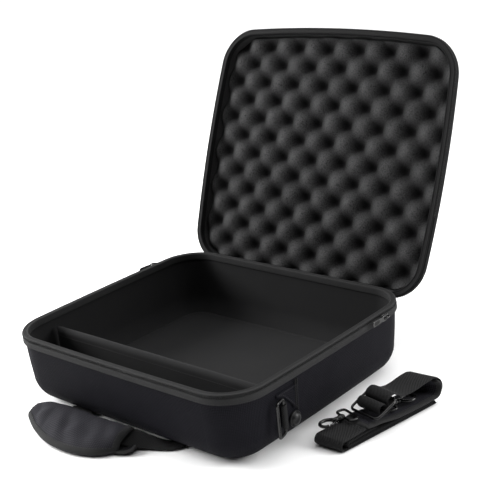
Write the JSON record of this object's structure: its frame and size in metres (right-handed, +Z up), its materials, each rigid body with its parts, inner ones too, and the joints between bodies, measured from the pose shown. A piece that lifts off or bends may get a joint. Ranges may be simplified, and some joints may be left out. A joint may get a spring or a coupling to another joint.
{
  "type": "carry case",
  "caption": "Zip-up moulded fabric carry case with hinged egg-crate foam lid, front cable compartment, padded handle and detachable shoulder strap.",
  "frame": {"origin": "centre of the flat resting face under the base", "axes": "+Z up, +X to the right-hand wall (the strap's side), -Y to the handle side, +Y to the hinge side"},
  "size_m": [0.5019, 0.5771, 0.4118],
  "materials": {
    "shell_fabric": "moulded foam shell faced in charcoal ballistic weave",
    "band_fabric": "woven binding tape, matt",
    "zipper_coil": "spiral coil, satin",
    "foam": "open-cell charcoal foam, egg-crate face",
    "lining": "black brushed lining",
    "webbing": "twill webbing",
    "padding": "padded woven wrap",
    "black_metal": "gloss black enamel",
    "black_plastic": "moulded black plastic"
  },
  "bodies": {
    "case_base": {"base_shell": "shell_fabric", "base_rim_band": "band_fabric", "base_zipper_coil": "zipper_coil", "floor_pad": "lining", "cable_divider": "lining", "hinge_panel": "band_fabric", "handle_end_left": "webbing", "handle_end_right": "webbing", "anchor_patch_left": "shell_fabric", "anchor_patch_right": "shell_fabric", "anchor_tab_left": "webbing", "anchor_tab_right": "webbing", "anchor_rivet_left": "black_plastic", "anchor_rivet_right": "black_plastic"},
    "lid": {"lid_shell": "shell_fabric", "lid_rim_band": "band_fabric", "lid_zipper_coil": "zipper_coil", "lid_foam": "foam"},
    "slider_right": {"zip_slider_right": "black_metal"},
    "slider_left": {"zip_slider_left": "black_metal"},
    "pull_right": {"zip_pull_right": "black_metal"},
    "pull_left": {"zip_pull_left": "black_metal"},
    "ring_right": {"strap_ring_right": "black_metal"},
    "ring_left": {"strap_ring_left": "black_metal"},
    "handle": {"handle_webbing": "webbing", "handle_grip": "padding"},
    "strap": {"shoulder_pad": "padding", "strap_webbing_lower": "webbing", "strap_webbing_upper": "webbing", "strap_webbing_loop": "webbing", "slide_adjuster": "black_metal", "swivel_eye_near": "black_metal", "swivel_eye_far": "black_metal"},
    "hook_near": {"snap_hook_near": "black_metal"},
    "hook_far": {"snap_hook_far": "black_metal"},
    "gate_near": {"hook_gate_near": "black_metal"},
    "gate_far": {"hook_gate_far": "black_metal"}
  },
  "joints": [
    {"name": "lid_hinge", "type": "hinge", "parent": "case_base", "child": "lid", "pos_m": [0, 0.17306, 0.08906], "axis": [-1, 0, 0], "range_deg": [-112.36, 25], "deforming": ["hinge_panel"]},
    {"name": "slider_right_travel", "type": "slide", "parent": "case_base", "child": "slider_right", "axis": [0, -1, 0], "range_m": [0, 0.205]},
    {"name": "slider_left_travel", "type": "slide", "parent": "case_base", "child": "slider_left", "axis": [0, -1, 0], "range_m": [0, 0.205]},
    {"name": "pull_right_swing", "type": "hinge", "parent": "slider_right", "child": "pull_right", "pos_m": [0.20879, 0.106, 0.0938], "axis": [0, 0, 1], "range_deg": [0, 150]},
    {"name": "pull_left_swing", "type": "hinge", "parent": "slider_left", "child": "pull_left", "pos_m": [-0.20879, 0.106, 0.0938], "axis": [0, 0, -1], "range_deg": [0, 150]},
    {"name": "ring_right_swing", "type": "hinge", "parent": "case_base", "child": "ring_right", "pos_m": [0.20291, -0.0975, 0.0475], "axis": [0, 0, 1], "range_deg": [-10, 110]},
    {"name": "ring_left_swing", "type": "hinge", "parent": "case_base", "child": "ring_left", "pos_m": [-0.20291, -0.0975, 0.0475], "axis": [0, 0, -1], "range_deg": [-10, 110]},
    {"name": "handle_swing", "type": "hinge", "parent": "case_base", "child": "handle", "pos_m": [0, -0.1745, 0.003], "axis": [-1, 0, 0], "range_deg": [0, 20]},
    {"name": "strap_lift", "type": "slide", "parent": "case_base", "child": "strap", "axis": [0, 0, 1], "range_m": [0, 0.3]},
    {"name": "hook_near_turn", "type": "hinge", "parent": "strap", "child": "hook_near", "pos_m": [0.23027, -0.03112, 0.0206], "axis": [-0.309, -0.9511, 0], "range_deg": [-12, 30]},
    {"name": "hook_far_turn", "type": "hinge", "parent": "strap", "child": "hook_far", "pos_m": [0.26093, 0.03913, 0.0172], "axis": [0.4067, 0.9135, 0], "range_deg": [-30, 30]},
    {"name": "gate_near_open", "type": "hinge", "parent": "hook_near", "child": "gate_near", "pos_m": [0.23003, -0.04156, 0.0206], "axis": [0, 0, -1], "range_deg": [0, 22], "stiffness_Nm_per_rad": 0.02},
    {"name": "gate_far_open", "type": "hinge", "parent": "hook_far", "child": "gate_far", "pos_m": [0.26226, 0.04948, 0.0172], "axis": [0, 0, -1], "range_deg": [0, 22], "stiffness_Nm_per_rad": 0.02}
  ]
}
